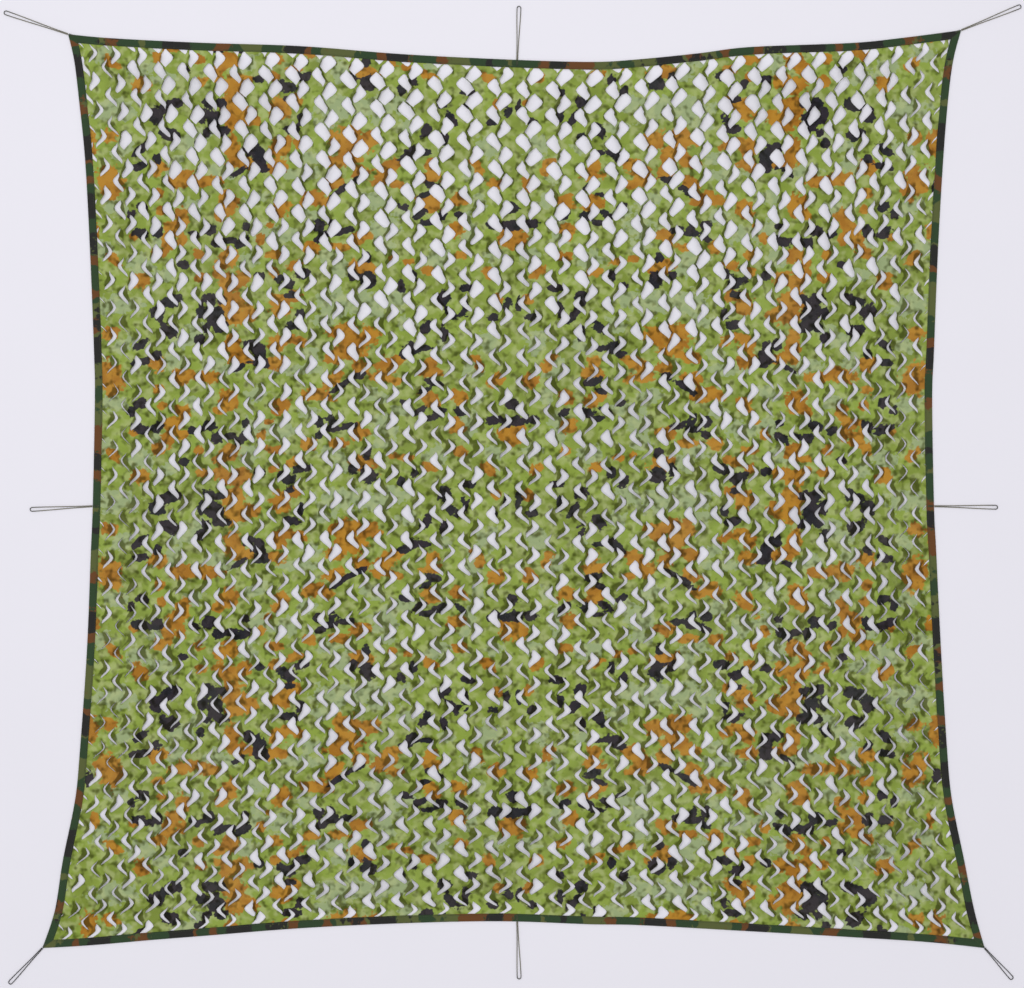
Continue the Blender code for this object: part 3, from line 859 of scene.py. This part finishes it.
CHARCOAL_PATCHES = [
    (-1.165, -0.06, 0.027, 0.03, 0), (-1.13, -0.03, 0.032, 0.018, 15), (-1.105, -0.02, 0.022, 0.02, 0),
    (-1.13, -0.125, 0.034, 0.018, -45), (-1.11, -0.12, 0.022, 0.015, -45),
    (-1.02, -0.06, 0.016, 0.027, 0), (-0.995, -0.02, 0.028, 0.02, -30),
    (-0.975, -0.075, 0.03, 0.04, 10), (-0.955, -0.11, 0.027, 0.018, 0),
    (-0.955, -0.02, 0.02, 0.016, -45), (-1.025, -0.15, 0.018, 0.02, 0),
    (-1.22, -0.17, 0.034, 0.013, 38), (-1.22, -0.225, 0.034, 0.014, 10),
    (-1.165, -0.2, 0.016, 0.018, 0), (-1.215, -0.36, 0.022, 0.018, -30),
    (-1.25, -0.385, 0.014, 0.02, 0), (-1.22, -0.445, 0.032, 0.018, -20),
    (-1.165, -0.44, 0.02, 0.024, -30), (-1.045, -0.45, 0.022, 0.014, -30),
    (-0.995, -0.435, 0.027, 0.02, 20), (-0.965, -0.475, 0.022, 0.02, 0),
    (-0.93, -0.47, 0.028, 0.012, 10), (-1.005, -0.115, 0.015, 0.015, 0), (-1.08, -0.55, 0.02, 0.014, 0),
    (-0.73, -0.005, 0.022, 0.012, 0), (-0.695, -0.07, 0.015, 0.022, 0),
    (-0.725, -0.105, 0.034, 0.016, -10), (-0.865, -0.17, 0.021, 0.022, 0),
    (-0.83, -0.2, 0.024, 0.044, 10), (-0.825, -0.235, 0.027, 0.012, 0), (-0.9, -0.245, 0.034, 0.01, 30),
    (-0.885, -0.475, 0.034, 0.016, 35), (-0.875, -0.425, 0.016, 0.015, 0),
    (-0.565, -0.305, 0.052, 0.011, 36), (-0.505, -0.27, 0.027, 0.012, 20),
    (-0.635, -0.42, 0.02, 0.02, 0), (-0.59, -0.42, 0.014, 0.027, 20), (-0.63, -0.46, 0.022, 0.014, 30),
    (-0.59, -0.445, 0.032, 0.012, 0), (-0.54, -0.435, 0.027, 0.013, 0),
    (-0.69, -0.575, 0.032, 0.017, 10), (-0.735, -0.61, 0.027, 0.02, 0),
    (-0.76, -0.595, 0.016, 0.015, 0), (-0.83, -0.585, 0.02, 0.015, 0), (-0.525, -0.58, 0.015, 0.022, 0),
    (-0.475, -0.595, 0.027, 0.03, -30), (-0.48, -0.525, 0.016, 0.02, 0),
    (-0.225, -0.015, 0.022, 0.026, 0), (-0.2, -0.07, 0.034, 0.015, -50),
    (-0.155, -0.05, 0.012, 0.034, 0), (-0.285, -0.11, 0.032, 0.018, 50),
    (-0.225, -0.13, 0.015, 0.027, 0), (-0.33, -0.18, 0.026, 0.023, 20), (-0.355, -0.2, 0.022, 0.015, 0),
    (-0.285, -0.18, 0.024, 0.011, 0), (-0.26, -0.29, 0.032, 0.014, -20),
    (-0.29, -0.32, 0.022, 0.01, 20), (-0.355, -0.36, 0.022, 0.012, -30),
    (-0.305, -0.385, 0.03, 0.012, 32), (-0.28, -0.41, 0.027, 0.01, 0), (-0.24, -0.39, 0.027, 0.017, 20),
    (-0.17, -0.39, 0.024, 0.014, -32), (-0.06, -0.415, 0.028, 0.018, 0),
    (-0.01, -0.42, 0.028, 0.018, 0), (-0.325, -0.585, 0.015, 0.022, 0),
    (-0.365, -0.62, 0.015, 0.022, 20), (-0.465, -0.6, 0.022, 0.02, 0), (-0.065, -0.08, 0.02, 0.014, 0),
    (-0.02, -0.04, 0.011, 0.032, 0), (-0.005, -0.365, 0.017, 0.02, 0),
    (-0.145, -0.625, 0.028, 0.014, 0), (-1.39, -0.3, 0.016, 0.03, 0),
]
PALE_PATCHES = [
    (-1.3, -0.04, 0.075, 0.036, 0), (-1.08, -0.155, 0.048, 0.026, 10), (-1.11, -0.23, 0.034, 0.042, 0),
    (-1.03, -0.12, 0.04, 0.022, 0), (-1.165, -0.475, 0.026, 0.026, 0), (-1.22, -0.55, 0.044, 0.036, 0),
    (-0.94, -0.25, 0.042, 0.02, 0), (-0.98, -0.235, 0.042, 0.022, 20), (-0.58, -0.035, 0.075, 0.042, 0),
    (-0.48, -0.03, 0.064, 0.036, 0), (-0.7, -0.25, 0.085, 0.018, 0), (-0.83, -0.44, 0.052, 0.036, -20),
    (-0.75, -0.45, 0.044, 0.032, 0), (-0.87, -0.53, 0.034, 0.032, 20), (-0.56, -0.56, 0.036, 0.032, 0),
    (-0.45, -0.04, 0.052, 0.04, 0), (-0.42, -0.43, 0.052, 0.042, 20), (-0.36, -0.38, 0.042, 0.022, 0),
    (-0.15, -0.43, 0.032, 0.052, 0), (-0.25, -0.53, 0.044, 0.032, 0), (-0.38, -0.02, 0.044, 0.032, 0),
    (-0.13, -0.24, 0.032, 0.042, 0), (-0.08, -0.16, 0.04, 0.04, 0), (-1.28, -0.17, 0.04, 0.024, 30),
    (-1.3, -0.36, 0.05, 0.026, -20), (-1.34, -0.5, 0.04, 0.03, 0), (-1.05, -0.36, 0.036, 0.026, 0),
    (-0.84, -0.33, 0.04, 0.024, 20), (-0.67, -0.39, 0.036, 0.022, 0), (-0.62, -0.09, 0.04, 0.022, 0),
    (-0.45, -0.34, 0.046, 0.024, -20), (-0.34, -0.1, 0.04, 0.026, 0), (-0.66, -0.2, 0.034, 0.022, 0),
    (-0.6, -0.52, 0.046, 0.022, 0), (-0.42, -0.49, 0.036, 0.022, 0), (-0.06, -0.52, 0.034, 0.024, 0),
    (-0.22, -0.17, 0.026, 0.022, 0), (-1.14, -0.58, 0.04, 0.022, 0), (-0.11, -0.34, 0.022, 0.028, 0),
]
CELL = 0.08  # patches are looked up by squares of this size
MIDDLE_LINE = -0.003  # the print is mirrored about this x
PATCH_REACH = 1.7  # a patch is felt this many times its own size away


def spread_patches(patches):
    """The patches sorted into small squares, so that a point looks at its own square only."""
    cells = {}
    for x, y, half_wide, half_high, tilt in patches:
        reach = PATCH_REACH * max(half_wide, half_high)
        c, s = math.cos(math.radians(tilt)), math.sin(math.radians(tilt))
        for turn in range(-3, 5):
            middle = y + turn * PRINT_REPEAT
            patch = (x, middle, half_wide, half_high, c, s)
            for i in range(math.floor((x - reach) / CELL), math.floor((x + reach) / CELL) + 1):
                for j in range(math.floor((middle - reach) / CELL), math.floor((middle + reach) / CELL) + 1):
                    cells.setdefault((i, j), []).append(patch)
    return cells


def patch_field(cells, x, y):
    """1 at the middle of a patch, 0 at its edge, and down to -0.7 away from it."""
    x = -abs(x - MIDDLE_LINE)
    best = PATCH_REACH
    for px, py, half_wide, half_high, c, s in cells.get((math.floor(x / CELL), math.floor(y / CELL)), ()):
        dx, dy = x - px, y - py
        best = min(best, math.hypot((dx * c + dy * s) / half_wide, (dy * c - dx * s) / half_high))
    return 1 - best


def make_netting():
    net = Netting()
    net.build()
    piece = new_piece("netting", net.points, net.faces, netting_material())
    # The weight of the painted shade, read by the cloth's material.
    give_values(piece, "curl", net.curl)
    give_values(piece, "rim", net.rim)
    for name, patches in (("ochre", OCHRE_PATCHES), ("charcoal", CHARCOAL_PATCHES), ("pale", PALE_PATCHES)):
        cells = spread_patches(patches)
        give_values(piece, name, [patch_field(cells, x, y) for x, y, _ in net.points])
    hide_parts("net_panel")
    return piece


netting = make_netting()

# ---------------------------------------------------------------- the tape round the edge
TAPE_STEPS = 160
MITRE_REACH = 0.06  # the tape starts turning to the mitre this far from a corner
# Across the folded tape, from the raw inner edge underneath round the fold to the inner edge on top:
# depth from the outline and height, as shares of the tape's width and height.
TAPE_SECTION = [
    (1.0, 0.24), (1.0, 0.0), (0.75, 0.0), (0.45, 0.0), (0.12, 0.0), (0.04, 0.06), (0.01, 0.25),
    (0.0, 0.5), (0.01, 0.75), (0.04, 0.93), (0.12, 1.0), (0.30, 1.0), (0.52, 0.99), (0.72, 0.97),
    (0.86, 0.90), (0.93, 0.93),
    (1.0, 0.97), (1.0, 0.70),
]


def inward(a, b):
    """The way inwards across the edge that runs from a to b."""
    length = math.dist(a, b)
    return (b[1] - a[1]) / length, (a[0] - b[0]) / length


def tape_frames(line):
    """Stations along one edge, each with its point and the way inwards."""
    frames = []
    for i in range(TAPE_STEPS + 1):
        share = i / TAPE_STEPS
        here = line.at(share)
        frames.append((here, inward(line.at(share - 0.004), line.at(share + 0.004))))
    return frames


def make_tape(name, line, start_corner, end_corner):
    """Tape folded over one edge, its ends cut on the mitre of the corners."""
    rng = random.Random(name)
    waves = [(rng.uniform(14, 40), rng.uniform(0, 6.3)) for _ in range(4)]
    frames = tape_frames(line)
    points, faces, along, across = [], [], [], []
    n = len(TAPE_SECTION)
    for i, ((x, y), (nx, ny)) in enumerate(frames):
        distance = i / TAPE_STEPS * line.length
        pucker = sum(math.sin(rate * distance + phase) for rate, phase in waves) / 4
        for k, (depth, height) in enumerate(TAPE_SECTION):
            d = depth * (BINDING_WIDTH + 0.0006 * pucker * (depth > 0.9))
            mx, my = nx, ny
            # Near a corner the tape's lines run to the mitre.
            for corner, sign, left in ((start_corner, 1, distance), (end_corner, -1, line.length - distance)):
                if left < MITRE_REACH:
                    share = (1 - left / MITRE_REACH) ** 2
                    mx, my = mx + (corner[0] - mx) * share, my + (corner[1] - my) * share
            z = TAPE_HEIGHT * height
            if height > 0.6 and 0.2 < depth < 0.95:
                z -= 0.0002 * (1 + pucker)
            points.append((x + mx * d, y + my * d, z))
            along.append(distance)
            across.append(k / n * 2 * BINDING_WIDTH)
    for i in range(TAPE_STEPS):
        for k in range(n - 1):
            a, b = i * n + k, i * n + k + 1
            faces.append((a, b, b + n, a + n))
    piece = new_piece("tape_" + name, points, faces, TAPE)
    give_values(piece, "along", along)
    give_values(piece, "across", across)
    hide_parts("binding_" + name)
    return piece


def corner_mitre(before, after):
    """The step inwards along the mitre between two edges that meet, for one unit of depth."""
    ax, ay = inward(before.at(0.99), before.at(1.0))
    bx, by = inward(after.at(0.0), after.at(0.01))
    share = 1 + ax * bx + ay * by
    return (ax + bx) / share, (ay + by) / share


SIDES = [("top", TOP), ("right", RIGHT), ("bottom", BOTTOM), ("left", LEFT)]
for i, (side, edge) in enumerate(SIDES):
    make_tape(
        side, edge, corner_mitre(SIDES[i - 1][1], edge), corner_mitre(edge, SIDES[(i + 1) % 4][1])
    )


# ---------------------------------------------------------------- stitches
THREAD_RADIUS = 0.00042
STITCH_LENGTH = 0.0044
STITCH_PITCH = 0.0056
SEAM_DEPTH = 0.0205  # how far the row of stitches is from the outer fold
TACK_STITCHES = 15
TACK_PITCH = 0.0011
TACK_LEAN = 12  # degrees to either side, by turns


def model_stitch():
    """One stitch, modelled once: a short thread with its ends sinking into the cloth."""
    bpy.ops.object.select_all(action="DESELECT")
    bpy.ops.mesh.primitive_cylinder_add(
        vertices=6, radius=THREAD_RADIUS, depth=STITCH_LENGTH, rotation=(0, math.pi / 2, 0)
    )
    stitch = bpy.context.object
    bpy.ops.object.transform_apply(location=False, rotation=True, scale=True)
    bpy.ops.object.mode_set(mode="EDIT")
    bpy.ops.mesh.select_all(action="SELECT")
    bpy.ops.mesh.bisect(plane_co=(-STITCH_LENGTH * 0.25, 0, 0), plane_no=(1, 0, 0))
    bpy.ops.mesh.select_all(action="SELECT")
    bpy.ops.mesh.bisect(plane_co=(STITCH_LENGTH * 0.25, 0, 0), plane_no=(1, 0, 0))
    bpy.ops.object.mode_set(mode="OBJECT")
    for vertex in stitch.data.vertices:
        if abs(vertex.co.x) > STITCH_LENGTH * 0.45:
            vertex.co.y *= 0.45
            vertex.co.z = vertex.co.z * 0.45 - 0.00035
    shape = [tuple(v.co) for v in stitch.data.vertices], [tuple(p.vertices) for p in stitch.data.polygons]
    bpy.data.objects.remove(stitch, do_unlink=True)
    return shape


def copy_stitches(name, places):
    """Copies of the stitch, each at a place and a heading, in one piece."""
    shape_points, shape_faces = model_stitch()
    points, faces = [], []
    for (x, y, z), heading, size in places:
        first = len(points)
        c, s = math.cos(heading), math.sin(heading)
        points += [(x + (px * c - py * s) * size, y + (px * s + py * c) * size, z + pz * size)
                   for px, py, pz in shape_points]
        faces += [tuple(first + i for i in face) for face in shape_faces]
    piece = new_piece(name, points, faces, THREAD)
    return piece


def seam_places(line):
    """A straight row of stitches along the tape's inner edge."""
    rng = random.Random(77)
    count = int((line.length - 0.05) / STITCH_PITCH)
    places = []
    for i in range(count):
        share = (0.025 + (i + 0.5) * STITCH_PITCH) / line.length
        a, b = line.at(share - 0.002), line.at(share + 0.002)
        nx, ny = inward(a, b)
        x, y = line.at(share)
        depth = SEAM_DEPTH + rng.uniform(-0.0003, 0.0003)
        heading = math.atan2(b[1] - a[1], b[0] - a[0]) + rng.uniform(-0.05, 0.05)
        places.append(((x + nx * depth, y + ny * depth, TAPE_HEIGHT * 0.945), heading, 1.0))
    return places


def tack_places(place, degrees):
    """A bar tack that holds a tie: close stitches side by side across the tape."""
    places = []
    for i in range(TACK_STITCHES):
        out = -0.004 - i * TACK_PITCH
        x, y = beside(place, degrees, out, 0.0)
        lean = TACK_LEAN if i % 2 else -TACK_LEAN
        places.append(((x, y, TAPE_HEIGHT + 0.0001), math.radians(degrees + 90 + lean), 1.7))
    return places


seams = [copy_stitches("stitches_" + side, seam_places(edge)) for side, edge in SIDES]
tacks = [
    copy_stitches("tack_" + tie[4:], tack_places(place, degrees))
    for tie, (place, degrees, _, _) in TIES.items()
]


# ---------------------------------------------------------------- floor, light and backdrop
def make_floor():
    material, n, shader = new_material("studio_floor")
    place = n.add("ShaderNodeTexCoord").outputs["Object"]
    n.set(shader, "Base Color", n.mix(n.noise(place, 3.0, 2.0), srgb(234, 233, 241), srgb(236, 235, 243)))
    shader.inputs["Roughness"].default_value = 0.9
    shader.inputs["Specular IOR Level"].default_value = 0.1
    bpy.ops.object.select_all(action="DESELECT")
    bpy.ops.mesh.primitive_plane_add(size=40, location=(0, 0, -0.0002))
    floor = bpy.context.object
    floor.name = "floor"
    floor.data.materials.append(material)


def make_light(name, place, size, power):
    data = bpy.data.lights.new(name, "AREA")
    data.shape = "SQUARE"
    data.size = size
    data.energy = power
    lamp = bpy.data.objects.new(name, data)
    bpy.context.scene.collection.objects.link(lamp)
    lamp.location = place
    aim = tuple(-p for p in place)
    lamp.rotation_euler = (
        math.atan2(math.hypot(aim[0], aim[1]), -aim[2]), 0.0, math.atan2(aim[1], aim[0]) - math.pi / 2,
    )


def make_backdrop():
    world = bpy.data.worlds.new("studio")
    world.use_nodes = True
    background = world.node_tree.nodes["Background"]
    background.inputs["Color"].default_value = (1.0, 0.99, 1.0, 1)
    background.inputs["Strength"].default_value = 0.76
    bpy.context.scene.world = world


make_floor()
make_backdrop()
make_light("softbox_above", (-1.2, 2.2, 8.0), 3.0, 170)
bpy.context.scene.view_settings.view_transform = "Standard"
